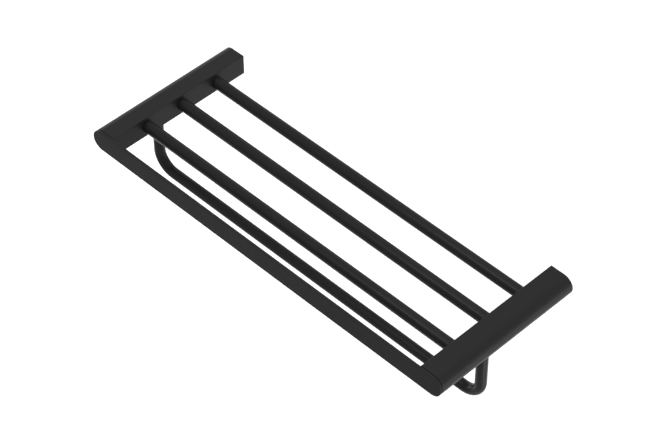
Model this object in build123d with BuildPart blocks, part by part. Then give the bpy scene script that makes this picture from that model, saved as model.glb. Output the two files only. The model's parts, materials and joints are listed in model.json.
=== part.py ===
from build123d import *
import os

# Wall-hung towel rack with a barred shelf above and a bent towel rail below.
# The wall is the plane y = 0 and the front faces -Y; z = 0 is the arms' mid height.
# All sizes are in mm.

# Whole rack
overall_length = 650.0  # tip to tip of the arms' round sides
overall_depth = 246.0  # wall to the front of the plate

# Arms: a D-shaped section, flat inside and round outside
arm_height = 32.0
arm_width = 38.0
arm_edge_chamfer = 0.4  # long corners and front end, a fine line against the plate

# Front plate
plate_thickness = 4.2
plate_edge_chamfer = 0.4  # front and back

# Shelf bars
bar_names = ("rear", "middle", "front")
bar_diameter = 18.0
bar_tube_wall = 1.2
rear_bar_setback = 52.4  # wall to the rear bar's centre
front_bar_setback = 61.0  # back of the plate to the front bar's centre

# Plugs in the bar ends, with a spigot that enters the arm
plug_length = 20.0
plug_clearance = 0.1
spigot_diameter = 10.0
spigot_length = 14.0
spigot_clearance = 0.1
spigot_end_gap = 0.3

# Towel rail, bent from solid rod
rail_diameter = 16.0
rail_drop = 105.0  # arms' mid height to the centre of the run
rail_setback = 98.5  # front of the plate to the rail
rail_bend_radius = 28.5
rail_socket_depth = 15.0
rail_socket_clearance = 0.1
rail_socket_end_gap = 0.3

# Studs on the back of the plate, one for the end of each arm
stud_diameter = 8.0
stud_length = 15.0
stud_clearance = 0.15
stud_end_gap = 0.5
stud_notch_setback = 8.0  # back of the plate to the middle of the notch

# Grub screws, all driven up from the arms' undersides
grub_diameter = 5.0
grub_clearance = 0.05
grub_key_width = 2.5  # across the flats of the hex socket
grub_key_depth = 2.0
grub_recess = 1.0
grub_end_gap = 0.15
pin_notch_depth = 1.0  # seats of the grub screws in spigots and studs

# Wall brackets, cut from flat bar, each in a pocket in the wall end of its arm
bracket_width = 16.0
bracket_height = 25.4
bracket_thickness = 8.0
bracket_clearance = 0.3
bracket_notch_depth = 2.0  # seat of the grub screw
wall_screw_hole = 5.5
wall_screw_head = 10.5
wall_screw_margin = 0.95  # bracket's edge to the screw's head
wall_screw_head_room = 4.5  # front of the bracket to the pocket's floor

# Places that follow from the sizes
arm_length = overall_depth - plate_thickness
tip_x = overall_length / 2
inner_x = tip_x - arm_width
arm_x = tip_x - arm_width / 2
arm_xs = (-arm_x, arm_x)
arm_bottom_z = -arm_height / 2
bar_z = arm_bottom_z + arm_height / 2
bar_pitch = (arm_length - rear_bar_setback - front_bar_setback) / (len(bar_names) - 1)
bar_y = {name: -rear_bar_setback - i * bar_pitch for i, name in enumerate(bar_names)}
rail_y = rail_setback - overall_depth
rail_top_z = arm_bottom_z + rail_socket_depth - rail_socket_end_gap
stud_grub_y = stud_notch_setback - arm_length
bracket_bottom_z = -bracket_height / 2
wall_screw_z = bracket_height / 2 - wall_screw_margin - wall_screw_head / 2
wall_screw_zs = (-wall_screw_z, wall_screw_z)
bar_grub_x = inner_x + spigot_length / 2
wall_grub_y = -bracket_thickness / 2
notch_width = grub_diameter + 2 * grub_clearance


def facing(x, y, z, direction):
    """A plane on a face at x, y, z whose holes are drilled against direction."""
    return Plane(origin=(x, y, z), z_dir=direction)


def mill_notch(x, y, z, length_x, length_y, depth):
    """Cut a flat seat for a grub screw up into a piece whose underside is at z."""
    with Locations((x, y, z)):
        Box(
            length_x,
            length_y,
            depth,
            align=(Align.CENTER, Align.CENTER, Align.MIN),
            mode=Mode.SUBTRACT,
        )


# Right arm
with BuildPart() as right_arm:
    half = arm_height / 2
    arc_x = tip_x - half
    with BuildSketch(Plane.XZ):
        with BuildLine():
            Polyline((arc_x, half), (inner_x, half), (inner_x, -half), (arc_x, -half))
            ThreePointArc((arc_x, -half), (tip_x, 0), (arc_x, half))
        make_face()
    extrude(amount=arm_length)
    chamfer(right_arm.edges().filter_by(Axis.Y).group_by(Axis.X)[0], arm_edge_chamfer)
    chamfer(right_arm.faces().sort_by(Axis.Y)[0].edges(), arm_edge_chamfer)
    # pocket for the wall bracket and the heads of its screws
    with BuildSketch(Plane.XZ):
        with Locations((arm_x, 0)):
            Rectangle(bracket_width + 2 * bracket_clearance, bracket_height + 2 * bracket_clearance)
    extrude(amount=bracket_thickness + wall_screw_head_room, mode=Mode.SUBTRACT)
    # bores for the bars' spigots
    with Locations(*[facing(inner_x, y, bar_z, (-1, 0, 0)) for y in bar_y.values()]):
        Hole(spigot_diameter / 2 + spigot_clearance, depth=spigot_length + spigot_end_gap)
    # socket for the towel rail's leg
    with Locations(facing(arm_x, rail_y, arm_bottom_z, (0, 0, -1))):
        Hole(rail_diameter / 2 + rail_socket_clearance, depth=rail_socket_depth)
    # bore for the plate's stud
    with Locations(facing(arm_x, -arm_length, 0, (0, -1, 0))):
        Hole(stud_diameter / 2 + stud_clearance, depth=stud_length + stud_end_gap)
    # tapped holes for the grub screws
    with Locations(*[facing(bar_grub_x, y, arm_bottom_z, (0, 0, -1)) for y in bar_y.values()]):
        Hole(grub_diameter / 2 + grub_clearance, depth=bar_z - arm_bottom_z)
    with Locations(facing(arm_x, stud_grub_y, arm_bottom_z, (0, 0, -1))):
        Hole(grub_diameter / 2 + grub_clearance, depth=-arm_bottom_z)
    with Locations(facing(arm_x, wall_grub_y, arm_bottom_z, (0, 0, -1))):
        Hole(grub_diameter / 2 + grub_clearance, depth=bracket_bottom_z - arm_bottom_z)

# Left arm
with BuildPart() as left_arm:
    mirror(right_arm.part, about=Plane.YZ)

# Front plate
with BuildPart() as front_plate:
    with BuildSketch(Plane.XZ.offset(arm_length)):
        SlotOverall(overall_length, arm_height)
    extrude(amount=plate_thickness)
    chamfer(front_plate.faces().filter_by(Axis.Y).edges(), plate_edge_chamfer)

# Studs welded to the back of the plate
with BuildPart() as front_plate_studs:
    with BuildSketch(Plane.XZ.offset(arm_length)):
        with Locations(*[(x, 0) for x in arm_xs]):
            Circle(stud_diameter / 2)
    extrude(amount=-stud_length)
    for x in arm_xs:
        mill_notch(x, stud_grub_y, -stud_diameter / 2, stud_diameter, notch_width, pin_notch_depth)


def shelf_bar(name):
    """A round tube between the flat faces of the two arms."""
    with BuildPart() as bar:
        with BuildSketch(Plane.YZ.offset(-inner_x)):
            with Locations((bar_y[name], bar_z)):
                Circle(bar_diameter / 2)
                Circle(bar_diameter / 2 - bar_tube_wall, mode=Mode.SUBTRACT)
        extrude(amount=2 * inner_x)
    return bar


def bar_plug(name):
    """A turned plug for the right end of a bar, notched for its grub screw."""
    body = bar_diameter / 2 - bar_tube_wall - plug_clearance
    spigot = spigot_diameter / 2
    shoulder = (inner_x, bar_y[name], bar_z)
    with BuildPart() as plug:
        with BuildSketch(Plane(origin=shoulder, x_dir=(1, 0, 0), z_dir=(0, -1, 0))):
            with BuildLine():
                Polyline(
                    (-plug_length, 0),
                    (-plug_length, body),
                    (0, body),
                    (0, spigot),
                    (spigot_length, spigot),
                    (spigot_length, 0),
                    close=True,
                )
            make_face()
        revolve(axis=Axis(shoulder, (1, 0, 0)))
        mill_notch(bar_grub_x, bar_y[name], bar_z - spigot, notch_width, spigot_diameter, pin_notch_depth)
    return plug


# Towel rail
with BuildPart() as towel_rail:
    with BuildLine():
        rail_path = FilletPolyline(
            (-arm_x, rail_y, rail_top_z),
            (-arm_x, rail_y, -rail_drop),
            (arm_x, rail_y, -rail_drop),
            (arm_x, rail_y, rail_top_z),
            radius=rail_bend_radius,
        )
    with BuildSketch(Plane(origin=rail_path @ 0, z_dir=rail_path % 0)):
        Circle(rail_diameter / 2)
    sweep()

# Right wall bracket
with BuildPart() as right_wall_bracket:
    with BuildSketch(Plane.XZ):
        with Locations((arm_x, 0)):
            Rectangle(bracket_width, bracket_height)
        with Locations(*[(arm_x, z) for z in wall_screw_zs]):
            Circle(wall_screw_hole / 2, mode=Mode.SUBTRACT)
    extrude(amount=bracket_thickness)
    mill_notch(
        arm_x, wall_grub_y, bracket_bottom_z, bracket_width, notch_width, bracket_notch_depth
    )


def mirrored(piece):
    """The left-hand twin of a right-hand piece."""
    with BuildPart() as twin:
        mirror(piece.part, about=Plane.YZ)
    return twin


def grub_screws(spots, seat_z):
    """Flat-ended grub screws at the x, y spots, ending just below seat_z."""
    foot_z = arm_bottom_z + grub_recess
    with BuildPart() as screws:
        with BuildSketch(Plane.XY.offset(foot_z)):
            with Locations(*spots):
                Circle(grub_diameter / 2)
        extrude(amount=seat_z - grub_end_gap - foot_z)
        with BuildSketch(Plane.XY.offset(foot_z)):
            with Locations(*spots):
                RegularPolygon(grub_key_width / 2, 6, major_radius=False)
        extrude(amount=grub_key_depth, mode=Mode.SUBTRACT)
    return screws


bar_seat_z = bar_z - spigot_diameter / 2 + pin_notch_depth
stud_seat_z = pin_notch_depth - stud_diameter / 2
bracket_seat_z = bracket_bottom_z + bracket_notch_depth
right_bar_grub_screws = grub_screws([(bar_grub_x, y) for y in bar_y.values()], bar_seat_z)

pieces = {
    "left_arm": left_arm,
    "right_arm": right_arm,
    "front_plate": front_plate,
    "front_plate_studs": front_plate_studs,
    "towel_rail": towel_rail,
    "left_wall_bracket": mirrored(right_wall_bracket),
    "right_wall_bracket": right_wall_bracket,
    "left_bar_grub_screws": mirrored(right_bar_grub_screws),
    "right_bar_grub_screws": right_bar_grub_screws,
    "plate_grub_screws": grub_screws([(x, stud_grub_y) for x in arm_xs], stud_seat_z),
    "wall_grub_screws": grub_screws([(x, wall_grub_y) for x in arm_xs], bracket_seat_z),
}
for name in bar_names:
    plug = bar_plug(name)
    pieces[f"shelf_bar_{name}"] = shelf_bar(name)
    pieces[f"{name}_bar_left_plug"] = mirrored(plug)
    pieces[f"{name}_bar_right_plug"] = plug

os.makedirs("parts", exist_ok=True)
for name, piece in pieces.items():
    piece.part.label = name
    export_step(piece.part, f"parts/{name}.step")
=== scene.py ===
import json
import math
import bpy
from mathutils import Matrix, Vector


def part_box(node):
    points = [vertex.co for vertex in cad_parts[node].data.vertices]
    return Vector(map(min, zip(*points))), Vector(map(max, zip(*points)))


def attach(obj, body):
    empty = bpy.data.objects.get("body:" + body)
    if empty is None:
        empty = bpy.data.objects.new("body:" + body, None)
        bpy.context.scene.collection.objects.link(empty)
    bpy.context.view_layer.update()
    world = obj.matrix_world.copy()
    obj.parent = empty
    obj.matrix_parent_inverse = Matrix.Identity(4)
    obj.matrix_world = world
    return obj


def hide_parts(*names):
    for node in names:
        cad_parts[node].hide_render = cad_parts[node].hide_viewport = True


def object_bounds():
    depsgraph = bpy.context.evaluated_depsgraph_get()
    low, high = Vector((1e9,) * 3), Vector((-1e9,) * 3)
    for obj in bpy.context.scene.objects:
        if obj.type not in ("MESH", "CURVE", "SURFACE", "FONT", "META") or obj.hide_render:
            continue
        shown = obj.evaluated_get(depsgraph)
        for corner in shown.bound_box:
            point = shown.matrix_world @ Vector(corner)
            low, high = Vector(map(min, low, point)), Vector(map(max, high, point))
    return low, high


# The looks of a wall-hung towel rack: coats for its solids, detailed fixings, lamps and camera.
# All places are in metres, in the rack's own frame: +X to its right, +Y into the wall, +Z up.

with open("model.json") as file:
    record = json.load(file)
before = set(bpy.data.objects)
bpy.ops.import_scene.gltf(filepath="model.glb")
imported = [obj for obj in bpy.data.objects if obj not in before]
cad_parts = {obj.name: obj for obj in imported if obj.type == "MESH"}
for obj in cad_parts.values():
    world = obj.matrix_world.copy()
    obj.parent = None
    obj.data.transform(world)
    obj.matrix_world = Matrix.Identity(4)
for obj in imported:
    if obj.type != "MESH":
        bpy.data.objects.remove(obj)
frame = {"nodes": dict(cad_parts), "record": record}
cad_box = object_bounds()

MM = 0.001
MICRON = 0.001 * MM
BARS = ("rear", "middle", "front")
SIDES = ("left", "right")

# The photograph's camera, with its angles in degrees
SENSOR_WIDTH_MM = 36.0
CAMERA_LENS_MM = 124.603
CAMERA_AZIMUTH = 45.3256
CAMERA_ELEVATION = 45.1738
CAMERA_ROLL = -0.1898
CAMERA_DISTANCE = 3.02578
CAMERA_TARGET = (0.023382, -0.131463, 0.0)

# The room: the rack hangs over a pale floor, in plain even light
HANGING_HEIGHT = 1.25
FLOOR_SIZE = 40.0
FLOOR_COLOUR = (0.8, 0.8, 0.8, 1.0)
FLOOR_GLOW = 0.61  # brings the floor up to white where it is seen
ROOM_COLOUR = (1.0, 1.0, 1.0, 1.0)
ROOM_LIGHT = 0.34  # that falls on the rack, and where the room is seen it is 1

# A lamp's role: whether it lights up matt surfaces, and whether it shows in gloss
BOTH = (True, True)
LIGHT_ONLY = (True, False)
GLOSS_ONLY = (False, True)

# Soft lamps: name, place, side of the square, power in watts and role
LAMPS = (
    ("overhead_softbox", (0.0, -0.1, 1.9), 1.8, 16.5, BOTH),
    ("front_left_softbox", (-0.8, -1.2, 1.75), 0.45, 5.6, BOTH),
    ("right_softbox", (2.5, 0.1, -0.4), 1.15, 28.0, LIGHT_ONLY),
    ("left_softbox", (-2.3, 1.1, 0.1), 1.2, 2.2, BOTH),
    ("low_left_softbox", (-2.0, 0.05, -0.5), 1.1, 13.0, LIGHT_ONLY),
    ("left_reflector", (-2.15, -0.67, -0.27), 0.7, 10.5, GLOSS_ONLY),
    ("right_reflector", (2.07, 0.98, -0.62), 0.8, 8.0, GLOSS_ONLY),
    ("low_right_reflector", (1.4, -0.25, -1.1), 0.7, 4.5, GLOSS_ONLY),
)

# Black coat, sprayed and baked: orange peel, finer grit on it, and slow clouding
PEEL_SIZE = 1.1 * MM
GRIT_SIZE = 0.22 * MM
CLOUD_SIZE = 45 * MM
CLOUD_SHARE = 0.6  # of a coat's change of grey, of which the grit makes the rest

# Painted shade: a dark line where the plate meets the arms, for the shade in the seam's groove
SEAM_SHADE_COLOUR = (0.0, 0.0, 0.0, 1.0)
SEAM_SHADE_ROUGHNESS = 0.9
SEAM_SHADE_REACH = 0.8 * MM  # to each side of the joint

# Painted light: a lighter tone on the plate's narrow edges, for the light they catch, measured
# back from the plate's front
LIT_EDGE_GREYS = (0.0292, 0.0382)
LIT_EDGE_START = 0.2 * MM
LIT_EDGE_FULL = 0.6 * MM

# Bare metal
METAL_BLUE = 0.01  # how much more blue than red it has

# Grub screws, with a coarse metric thread and a hex socket
THREAD_PITCH = 0.8 * MM
THREAD_DEPTH = 0.5413 * THREAD_PITCH  # as metric threads have
THREAD_CREST = THREAD_PITCH / 8
THREAD_ROOT = THREAD_PITCH / 4
THREAD_FLANK = (THREAD_PITCH - THREAD_CREST - THREAD_ROOT) / 2
THREAD_STEPS = 24
SPARE_TURNS = 3  # of thread, about half of them past each end until the ends are cut
MERGE_DISTANCE = THREAD_PITCH / 1000
SCREW_CHAMFER = 0.7 * THREAD_PITCH
KEY_WIDTH = 2.5 * MM  # across the flats
KEY_SIDES = 6
KEY_DEPTH = 2.0 * MM
CUP_RADIUS = 1.25 * MM
CUP_DEPTH = 0.9 * MM
CUP_SIDES = 32

# Wall brackets, cut from flat bar and deburred
BRACKET_EDGE = 0.5 * MM
BRACKET_EDGE_STEPS = 2
SEAT_END_GAP = 0.15 * MM  # between a grub screw's point and the bottom of its seat
SEAT_SIDE_GAP = 0.05 * MM

# Shared by the fixings
ROUND_SIDES = 48
CUT_OVERRUN = 0.5 * MM
BEVEL_ANGLE = math.radians(40)
SMOOTH_ANGLE = math.radians(35)
QUARTER_TURN = math.radians(90)


def middle(node):
    """The middle of a CAD node's box."""
    low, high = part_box(node)
    return (low + high) / 2


rack_middle = (cad_box[0] + cad_box[1]) / 2
plate_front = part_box("front_plate")[0].y
plate_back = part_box("front_plate")[1].y
arm_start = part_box("right_arm")[0].x


# Modelling


def deselect():
    """Leave edit mode and select nothing."""
    if bpy.context.object and bpy.context.object.mode != "OBJECT":
        bpy.ops.object.mode_set(mode="OBJECT")
    bpy.ops.object.select_all(action="DESELECT")


def select_only(piece):
    """Select one piece and make it the active one."""
    deselect()
    piece.select_set(True)
    bpy.context.view_layer.objects.active = piece


def edit(piece, select_mode="VERT"):
    """Start to edit a piece's vertices, edges or faces."""
    select_only(piece)
    bpy.ops.object.mode_set(mode="EDIT")
    bpy.ops.mesh.select_mode(type=select_mode)


def place_in_mesh(piece):
    """Move a piece's place and turn into its mesh, so that its object sits at the origin."""
    select_only(piece)
    bpy.ops.object.transform_apply(location=True, rotation=True, scale=True)


def named_primitive(name):
    """The primitive that was just added, under its name and with its place in its mesh."""
    piece = bpy.context.object
    piece.name = name
    piece.data.name = name
    place_in_mesh(piece)
    return piece


def block(name, low, high):
    """A box between its lowest and highest corners."""
    deselect()
    bpy.ops.mesh.primitive_cube_add(size=1, location=(low + high) / 2, scale=high - low)
    return named_primitive(name)


def upright_rod(name, sides, radius, low, high):
    """A rod of so many sides on the Z axis, from one height to another."""
    deselect()
    bpy.ops.mesh.primitive_cylinder_add(
        vertices=sides, radius=radius, depth=high - low, location=(0, 0, (low + high) / 2)
    )
    return named_primitive(name)


def apply_modifier(piece, kind, **settings):
    """Put a modifier on a piece and apply it."""
    select_only(piece)
    modifier = piece.modifiers.new(kind.lower(), kind)
    for setting, value in settings.items():
        setattr(modifier, setting, value)
    bpy.ops.object.modifier_apply(modifier=modifier.name)


def cut(piece, tool, operation="DIFFERENCE"):
    """Cut a piece with a tool piece, which is then thrown away."""
    apply_modifier(piece, "BOOLEAN", operation=operation, solver="EXACT", object=tool)
    bpy.data.objects.remove(tool)


def smooth(piece):
    """Shade a piece smooth, apart from its sharp edges."""
    select_only(piece)
    bpy.ops.object.shade_smooth_by_angle(angle=SMOOTH_ANGLE)


def stand_in(piece, node, finish):
    """Give a new steel fixing its finish, and let it stand for its CAD node."""
    piece.data.materials.clear()
    piece.data.materials.append(finish)
    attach(piece, "root")
    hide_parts(node)


# Node trees


def empty_tree(owner):
    """The node tree of a material or a world, with nothing in it yet."""
    owner.use_nodes = True
    owner.node_tree.nodes.clear()
    return owner.node_tree


def feed(tree, socket, source):
    """Link a source socket, or write a plain value."""
    if isinstance(source, bpy.types.NodeSocket):
        tree.links.new(source, socket)
    else:
        socket.default_value = source


def feed_named(tree, node, sockets):
    """Feed a node's inputs, named with _ for spaces."""
    for label, source in sockets.items():
        feed(tree, node.inputs[label.replace("_", " ")], source)


def add_node(tree, kind, settings=None, **sockets):
    """A new node with its settings, and what its inputs take."""
    node = tree.nodes.new(kind)
    for setting, value in (settings or {}).items():
        setattr(node, setting, value)
    feed_named(tree, node, sockets)
    return node


def calculate(tree, operation, first, second=0.0):
    """The result of a math node."""
    node = add_node(tree, "ShaderNodeMath", {"operation": operation})
    feed(tree, node.inputs[0], first)
    feed(tree, node.inputs[1], second)
    return node.outputs["Value"]


def mapped(tree, value, wanted, given=(0.0, 1.0)):
    """A number that runs over the wanted range as value runs over the given one."""
    node = add_node(
        tree,
        "ShaderNodeMapRange",
        Value=value,
        From_Min=given[0],
        From_Max=given[1],
        To_Min=wanted[0],
        To_Max=wanted[1],
    )
    return node.outputs["Result"]


def blend_colours(tree, factor, first, second):
    """A colour that runs from first to second as factor runs from 0 to 1."""
    node = add_node(tree, "ShaderNodeMix", {"data_type": "RGBA"})
    # its sockets for colours come after those for numbers and vectors
    first_in, second_in, result = node.inputs[6], node.inputs[7], node.outputs[2]
    feed(tree, node.inputs["Factor"], factor)
    feed(tree, first_in, first)
    feed(tree, second_in, second)
    return result


def blend_greys(tree, factor, greys, blue=0.0):
    """A grey that runs from the darker level to the lighter one, with so much more blue."""
    dark, light = [(level, level, level + blue, 1.0) for level in greys]
    return blend_colours(tree, factor, dark, light)


def noise(tree, place, size, detail, roughness=0.5):
    """Noise from 0 to 1 whose lumps are about size metres across."""
    scale = calculate(tree, "DIVIDE", 1.0, size)
    node = add_node(
        tree, "ShaderNodeTexNoise", Vector=place, Scale=scale, Detail=detail, Roughness=roughness
    )
    return node.outputs["Fac"]


def object_place(tree, stretch=None):
    """Object coordinates in metres, squeezed along an axis for marks that run along it."""
    place = add_node(tree, "ShaderNodeTexCoord").outputs["Object"]
    if stretch:
        place = add_node(tree, "ShaderNodeMapping", Vector=place, Scale=stretch).outputs["Vector"]
    return place


def bump(tree, height):
    """A normal from a height in metres."""
    node = add_node(tree, "ShaderNodeBump", Strength=1.0, Distance=1.0, Height=height)
    return node.outputs["Normal"]


# Effects that more than one material uses


def effect(name, inputs, outputs):
    """A node group whose inputs have a name, a kind and a value, and whose outputs are numbers."""
    group = bpy.data.node_groups.new(name, "ShaderNodeTree")
    for label, kind, value in inputs:
        socket = group.interface.new_socket(label, in_out="INPUT", socket_type=kind)
        socket.default_value = value
    for label in outputs:
        group.interface.new_socket(label, in_out="OUTPUT", socket_type="NodeSocketFloat")
    given = group.nodes.new("NodeGroupInput").outputs
    out = group.nodes.new("NodeGroupOutput").inputs
    return group, given, out


def sprayed_coat():
    """Height in metres, Cloud for the coat's slow changes and Speck for its finest ones."""
    inputs = (
        ("Place", "NodeSocketVector", (0.0, 0.0, 0.0)),
        ("Peel Depth", "NodeSocketFloat", 8 * MICRON),
        ("Grit Depth", "NodeSocketFloat", 3 * MICRON),
    )
    group, given, out = effect("sprayed_coat", inputs, ("Height", "Cloud", "Speck"))
    peel = noise(group, given["Place"], PEEL_SIZE, detail=1.0)
    grit = noise(group, given["Place"], GRIT_SIZE, detail=2.0, roughness=0.6)
    cloud = noise(group, given["Place"], CLOUD_SIZE, detail=3.0)
    waves = calculate(group, "MULTIPLY", peel, given["Peel Depth"])
    grains = calculate(group, "MULTIPLY", grit, given["Grit Depth"])
    feed(group, out["Height"], calculate(group, "ADD", waves, grains))
    feed(group, out["Cloud"], cloud)
    feed(group, out["Speck"], grit)
    return group


def seam_shade_line():
    """Shade for the painted shade at the joint of plate and arms: 0 at the joint and 1 or more
    beyond its reach.

    The joint is square to Y, and the arms start at Arm Start to both sides of the middle.
    """
    inputs = (
        ("Place", "NodeSocketVector", (0.0, 0.0, 0.0)),
        ("Joint", "NodeSocketFloat", 0.0),
        ("Arm Start", "NodeSocketFloat", 0.0),
        ("Reach", "NodeSocketFloat", SEAM_SHADE_REACH),
    )
    group, given, out = effect("seam_shade_line", inputs, ("Shade",))
    place = add_node(group, "ShaderNodeSeparateXYZ", Vector=given["Place"]).outputs
    offset = calculate(group, "SUBTRACT", place["Y"], given["Joint"])
    away = calculate(group, "DIVIDE", calculate(group, "ABSOLUTE", offset), given["Reach"])
    aside = calculate(group, "ABSOLUTE", place["X"])
    between_arms = calculate(group, "LESS_THAN", aside, given["Arm Start"])
    feed(group, out["Shade"], calculate(group, "MAXIMUM", away, between_arms))
    return group


def tool_marks():
    """Marks of brushing or turning: Height in metres and Streak from 0 to 1."""
    inputs = (
        ("Place", "NodeSocketVector", (0.0, 0.0, 0.0)),
        ("Mark Width", "NodeSocketFloat", 0.15 * MM),
        ("Mark Depth", "NodeSocketFloat", 2 * MICRON),
    )
    group, given, out = effect("tool_marks", inputs, ("Height", "Streak"))
    streak = noise(group, given["Place"], given["Mark Width"], detail=3.0, roughness=0.7)
    feed(group, out["Height"], calculate(group, "MULTIPLY", streak, given["Mark Depth"]))
    feed(group, out["Streak"], streak)
    return group


def placed(tree, group, **sockets):
    """The outputs of an effect that is placed in a material with its own values."""
    node = add_node(tree, "ShaderNodeGroup", {"node_tree": group})
    feed_named(tree, node, sockets)
    return node.outputs


# Materials


def new_material(name):
    """A material with a Principled shader at its output."""
    material = bpy.data.materials.new(name)
    tree = empty_tree(material)
    shader = add_node(tree, "ShaderNodeBsdfPrincipled")
    add_node(tree, "ShaderNodeOutputMaterial", Surface=shader.outputs["BSDF"])
    return material, tree, shader


def coat_material(name, greys, gloss, specular, peel_depth, grit_depth, joint=None, front=None):
    """A black coat, whose greys and gloss are ranges that its clouding and grit run through.

    joint is the Y of a joint that shows a dark line of painted shade, and front the Y of a face
    whose edges behind it get a lighter tone of painted light, for the light that they catch.
    """
    material, tree, shader = new_material(name)
    place = object_place(tree)
    marks = placed(tree, SPRAYED_COAT, Place=place, Peel_Depth=peel_depth, Grit_Depth=grit_depth)
    cloud = calculate(tree, "MULTIPLY", marks["Cloud"], CLOUD_SHARE)
    speck = calculate(tree, "MULTIPLY", marks["Speck"], 1 - CLOUD_SHARE)
    shade = calculate(tree, "ADD", cloud, speck)
    colour = blend_greys(tree, shade, greys)
    roughness = mapped(tree, marks["Speck"], gloss)
    if front is not None:
        # painted light: the faces behind the plate's front are coloured lighter than the front
        depth = add_node(tree, "ShaderNodeSeparateXYZ", Vector=place).outputs["Y"]
        lit_edge_band = mapped(tree, depth, (0.0, 1.0), (front + LIT_EDGE_START, front + LIT_EDGE_FULL))
        colour = blend_colours(tree, lit_edge_band, colour, blend_greys(tree, shade, LIT_EDGE_GREYS))
    if joint is not None:
        # painted shade: the seam between plate and arms is coloured dark and made rough
        seam_shade = placed(tree, SEAM_SHADE_LINE, Place=place, Joint=joint, Arm_Start=arm_start)["Shade"]
        colour = blend_colours(tree, seam_shade, SEAM_SHADE_COLOUR, colour)
        roughness = mapped(tree, seam_shade, (SEAM_SHADE_ROUGHNESS, roughness))
    feed(tree, shader.inputs["Base Color"], colour)
    feed(tree, shader.inputs["Roughness"], roughness)
    feed(tree, shader.inputs["Normal"], bump(tree, marks["Height"]))
    shader.inputs["Specular IOR Level"].default_value = specular
    return material


def metal_material(name, greys, gloss, stretch, mark_width, mark_depth):
    """Bare metal, whose greys and gloss are ranges that its tool marks run through."""
    material, tree, shader = new_material(name)
    place = object_place(tree, stretch)
    marks = placed(tree, TOOL_MARKS, Place=place, Mark_Width=mark_width, Mark_Depth=mark_depth)
    colour = blend_greys(tree, marks["Streak"], greys, METAL_BLUE)
    feed(tree, shader.inputs["Base Color"], colour)
    feed(tree, shader.inputs["Roughness"], mapped(tree, marks["Streak"], gloss))
    feed(tree, shader.inputs["Normal"], bump(tree, marks["Height"]))
    shader.inputs["Metallic"].default_value = 1.0
    return material


SPRAYED_COAT = sprayed_coat()
SEAM_SHADE_LINE = seam_shade_line()
TOOL_MARKS = tool_marks()

# Painted light and shade: these four coats stand for one black coat, and their greys and specular
# levels differ part by part to match how light falls on each part
ARM_COAT = coat_material(
    "arm_black_coat",
    greys=(0.0182, 0.0241),
    gloss=(0.36, 0.44),
    specular=0.1,
    peel_depth=40 * MICRON,
    grit_depth=50 * MICRON,
    joint=plate_back,
)
PLATE_COAT = coat_material(
    "plate_black_coat",
    greys=(0.0215, 0.0282),
    gloss=(0.36, 0.44),
    specular=0.035,
    peel_depth=36 * MICRON,
    grit_depth=46 * MICRON,
    joint=plate_back,
    front=plate_front,
)
BAR_COAT = coat_material(
    "bar_black_coat",
    greys=(0.0204, 0.0267),
    gloss=(0.13, 0.19),
    specular=0.06,
    peel_depth=8 * MICRON,
    grit_depth=3 * MICRON,
)
RAIL_COAT = coat_material(
    "rail_black_coat",
    greys=(0.0221, 0.0287),
    gloss=(0.2, 0.26),
    specular=0.062,
    peel_depth=8 * MICRON,
    grit_depth=3 * MICRON,
)
BRUSHED_STEEL = metal_material(
    "brushed_steel",
    greys=(0.46, 0.62),
    gloss=(0.24, 0.42),
    stretch=(1.0, 1.0, 0.04),
    mark_width=0.15 * MM,
    mark_depth=2 * MICRON,
)
SCREW_STEEL = metal_material(
    "screw_steel",
    greys=(0.4, 0.58),
    gloss=(0.22, 0.36),
    stretch=None,
    mark_width=0.3 * MM,
    mark_depth=1 * MICRON,
)
TURNED_ALUMINIUM = metal_material(
    "turned_aluminium",
    greys=(0.55, 0.68),
    gloss=(0.2, 0.36),
    stretch=(1.0, 0.02, 0.02),
    mark_width=0.12 * MM,
    mark_depth=2 * MICRON,
)


def coat_nodes():
    """Give every CAD node that shows its finish."""
    finishes = {
        ARM_COAT: ["left_arm", "right_arm"],
        PLATE_COAT: ["front_plate"],
        BAR_COAT: [f"shelf_bar_{bar}" for bar in BARS],
        RAIL_COAT: ["towel_rail"],
        BRUSHED_STEEL: ["front_plate_studs"],
        TURNED_ALUMINIUM: [f"{bar}_bar_{side}_plug" for bar in BARS for side in SIDES],
    }
    for finish, names in finishes.items():
        for name in names:
            node = frame["nodes"][name]
            node.data.materials.clear()
            node.data.materials.append(finish)


# Wall brackets


def wall_bracket(side):
    """A deburred flat bar with the seat of its grub screw and its two screw holes."""
    node = f"{side}_wall_bracket"
    low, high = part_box(node)
    centre = middle(node)
    bracket = block(node + "_deburred", low, high)
    # seat of the grub screw, milled across the underside
    screw_low, screw_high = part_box("wall_grub_screws")
    half_width = (screw_high.y - screw_low.y) / 2 + SEAT_SIDE_GAP
    seat = block(
        "seat",
        Vector((low.x - CUT_OVERRUN, centre.y - half_width, low.z - CUT_OVERRUN)),
        Vector((high.x + CUT_OVERRUN, centre.y + half_width, screw_high.z + SEAT_END_GAP)),
    )
    cut(bracket, seat)
    # holes for the wall screws, one above the other
    mounts = {mount["name"]: mount["dims"] for mount in frame["record"]["mounts"]}
    radius = mounts["wall_screws"]["hole_r_mm"] * MM
    spacing = mounts["wall_screws"]["spacing_y_mm"] * MM
    for height in (-spacing / 2, spacing / 2):
        deselect()
        bpy.ops.mesh.primitive_cylinder_add(
            vertices=ROUND_SIDES,
            radius=radius,
            depth=high.y - low.y + 2 * CUT_OVERRUN,
            location=(centre.x, centre.y, height),
            rotation=(QUARTER_TURN, 0, 0),
        )
        cut(bracket, named_primitive("screw_hole"))
    apply_modifier(
        bracket,
        "BEVEL",
        width=BRACKET_EDGE,
        segments=BRACKET_EDGE_STEPS,
        limit_method="ANGLE",
        angle_limit=BEVEL_ANGLE,
    )
    smooth(bracket)
    stand_in(bracket, node, BRUSHED_STEEL)


# Grub screws


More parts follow.
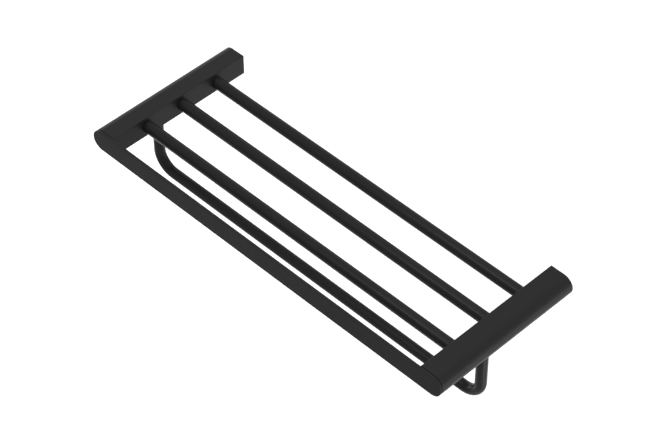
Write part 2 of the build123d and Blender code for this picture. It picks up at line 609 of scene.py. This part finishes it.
def thread(turns, radius):
    """A closed threaded rod of so many turns, with its lowest turn at z = 0."""
    deselect()
    bpy.ops.mesh.primitive_plane_add(size=THREAD_PITCH, location=(radius - THREAD_DEPTH, 0, 0))
    rod = named_primitive("thread")
    # the plane shrinks to a point, which is drawn out along the profile of one turn
    edit(rod)
    bpy.ops.mesh.select_all(action="SELECT")
    bpy.ops.mesh.merge(type="CENTER")
    profile = (
        (THREAD_DEPTH, 0, THREAD_FLANK),
        (0, 0, THREAD_CREST),
        (-THREAD_DEPTH, 0, THREAD_FLANK),
        (0, 0, THREAD_ROOT),
    )
    for step in profile:
        bpy.ops.mesh.extrude_region_move(TRANSFORM_OT_translate={"value": step})
    apply_modifier(
        rod,
        "SCREW",
        axis="Z",
        angle=2 * math.pi,
        screw_offset=THREAD_PITCH,
        iterations=turns,
        steps=THREAD_STEPS,
        render_steps=THREAD_STEPS,
        use_merge_vertices=True,
        merge_threshold=MERGE_DISTANCE,
    )
    # close its ends and turn its faces outwards
    edit(rod)
    bpy.ops.mesh.select_all(action="SELECT")
    bpy.ops.mesh.remove_doubles(threshold=MERGE_DISTANCE)
    bpy.ops.mesh.fill_holes(sides=0)
    bpy.ops.mesh.select_all(action="SELECT")
    bpy.ops.mesh.normals_make_consistent(inside=False)
    deselect()
    return rod


def grub_screw(length, radius):
    """A socket grub screw: its key end at z = 0, its cup point up at z = length."""
    screw = thread(math.ceil(length / THREAD_PITCH) + SPARE_TURNS, radius)
    screw.location.z = -SPARE_TURNS / 2 * THREAD_PITCH
    place_in_mesh(screw)
    # blank whose chamfered ends run the thread out
    blank = upright_rod("blank", ROUND_SIDES, radius + CUT_OVERRUN, -length / 2, length / 2)
    edit(blank, "EDGE")
    bpy.ops.mesh.select_all(action="DESELECT")
    bpy.ops.object.mode_set(mode="OBJECT")
    for edge in blank.data.edges:
        start, end = [blank.data.vertices[corner].co.z for corner in edge.vertices]
        edge.select = abs(start - end) < THREAD_PITCH
    bpy.ops.object.mode_set(mode="EDIT")
    bpy.ops.mesh.bevel(offset=SCREW_CHAMFER + CUT_OVERRUN, segments=1)
    blank.location.z = length / 2
    place_in_mesh(blank)
    cut(screw, blank, "INTERSECT")
    # hex socket
    key = upright_rod("key", KEY_SIDES, KEY_WIDTH / math.sqrt(3), -CUT_OVERRUN, KEY_DEPTH)
    cut(screw, key)
    # cup point
    deselect()
    bpy.ops.mesh.primitive_cone_add(
        vertices=CUP_SIDES,
        radius1=0,
        radius2=CUP_RADIUS * (1 + CUT_OVERRUN / CUP_DEPTH),
        depth=CUP_DEPTH + CUT_OVERRUN,
        location=(0, 0, length - (CUP_DEPTH - CUT_OVERRUN) / 2),
    )
    cut(screw, named_primitive("cup"))
    smooth(screw)
    return screw


def grub_screw_group(node, spots):
    """Threaded screws at the spots, as one piece that stands for their CAD node."""
    low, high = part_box(node)
    radius = min(high.x - low.x, high.y - low.y) / 2
    model = grub_screw(high.z - low.z, radius)
    copies = []
    for x, y in spots:
        screw = model.copy()
        screw.data = model.data.copy()
        screw.data.transform(Matrix.Translation((x, y, low.z)))
        bpy.context.scene.collection.objects.link(screw)
        copies.append(screw)
    bpy.data.objects.remove(model)
    select_only(copies[0])
    for screw in copies:
        screw.select_set(True)
    bpy.ops.object.join()
    group = copies[0]
    group.name = node + "_threaded"
    group.data.name = group.name
    stand_in(group, node, SCREW_STEEL)


def grub_screws():
    """The four groups of grub screws, each at the places that its CAD node has."""
    bar_ys = [middle(f"shelf_bar_{bar}").y for bar in BARS]
    for side in SIDES:
        node = f"{side}_bar_grub_screws"
        grub_screw_group(node, [(middle(node).x, y) for y in bar_ys])
    arm_xs = [middle(f"{side}_wall_bracket").x for side in SIDES]
    for node in ("plate_grub_screws", "wall_grub_screws"):
        grub_screw_group(node, [(x, middle(node).y) for x in arm_xs])


# Room, lamps and camera


def seen_rays(tree):
    """1 for rays from the camera and for those that gloss or glass sends on, else 0."""
    path = add_node(tree, "ShaderNodeLightPath").outputs
    direct = calculate(tree, "MAXIMUM", path["Is Camera Ray"], path["Is Glossy Ray"])
    return calculate(tree, "MAXIMUM", direct, path["Is Transmission Ray"])


def room():
    """White where it is seen, and a plain even light on the rack."""
    world = bpy.data.worlds.new("room")
    bpy.context.scene.world = world
    tree = empty_tree(world)
    strength = mapped(tree, seen_rays(tree), (ROOM_LIGHT, 1.0))
    shader = add_node(tree, "ShaderNodeBackground", Color=ROOM_COLOUR, Strength=strength)
    add_node(tree, "ShaderNodeOutputWorld", Surface=shader.outputs["Background"])


def floor():
    """A pale floor that takes the rack's shadow and isn't there from below."""
    deselect()
    bpy.ops.mesh.primitive_plane_add(size=FLOOR_SIZE, location=(0, 0, -HANGING_HEIGHT))
    plane = named_primitive("floor")
    material = bpy.data.materials.new("pale_floor")
    tree = empty_tree(material)
    paint = add_node(tree, "ShaderNodeBsdfDiffuse", Color=FLOOR_COLOUR)
    strength = calculate(tree, "MULTIPLY", seen_rays(tree), FLOOR_GLOW)
    glow = add_node(tree, "ShaderNodeEmission", Strength=strength)
    pale = add_node(tree, "ShaderNodeAddShader")
    feed(tree, pale.inputs[0], paint.outputs["BSDF"])
    feed(tree, pale.inputs[1], glow.outputs["Emission"])
    clear = add_node(tree, "ShaderNodeBsdfTransparent")
    from_below = add_node(tree, "ShaderNodeNewGeometry").outputs["Backfacing"]
    surface = add_node(tree, "ShaderNodeMixShader", Fac=from_below)
    feed(tree, surface.inputs[1], pale.outputs["Shader"])
    feed(tree, surface.inputs[2], clear.outputs["BSDF"])
    add_node(tree, "ShaderNodeOutputMaterial", Surface=surface.outputs["Shader"])
    plane.data.materials.append(material)


def soft_lamp(name, place, side, power, role):
    """A square lamp that faces the middle of the rack and isn't seen itself."""
    light = bpy.data.lights.new(name, "AREA")
    light.shape = "SQUARE"
    light.size = side
    light.energy = power
    lamp = bpy.data.objects.new(name, light)
    lamp.location = place
    lamp.rotation_euler = (Vector(place) - rack_middle).to_track_quat("Z", "Y").to_euler()
    lamp.visible_camera = False
    lamp.visible_diffuse, lamp.visible_glossy = role
    bpy.context.scene.collection.objects.link(lamp)


def camera():
    """The photograph's view."""
    azimuth = math.radians(CAMERA_AZIMUTH)
    elevation = math.radians(CAMERA_ELEVATION)
    flat = math.cos(elevation)
    back = Vector((math.sin(azimuth) * flat, -math.cos(azimuth) * flat, math.sin(elevation)))
    turn = (-back).to_track_quat("-Z", "Y").to_matrix()
    turn = turn @ Matrix.Rotation(math.radians(CAMERA_ROLL), 3, "Z")
    eye = bpy.data.objects.new("camera", bpy.data.cameras.new("camera"))
    eye.data.sensor_width = SENSOR_WIDTH_MM
    eye.data.lens = CAMERA_LENS_MM
    eye.data.clip_end = 2 * FLOOR_SIZE
    place = Vector(CAMERA_TARGET) + back * CAMERA_DISTANCE
    eye.matrix_world = Matrix.LocRotScale(place, turn, None)
    bpy.context.scene.collection.objects.link(eye)
    bpy.context.scene.camera = eye


camera()
room()
floor()
for lamp in LAMPS:
    soft_lamp(*lamp)
coat_nodes()
for side in SIDES:
    wall_bracket(side)
grub_screws()

bpy.context.scene.view_settings.view_transform = "Standard"
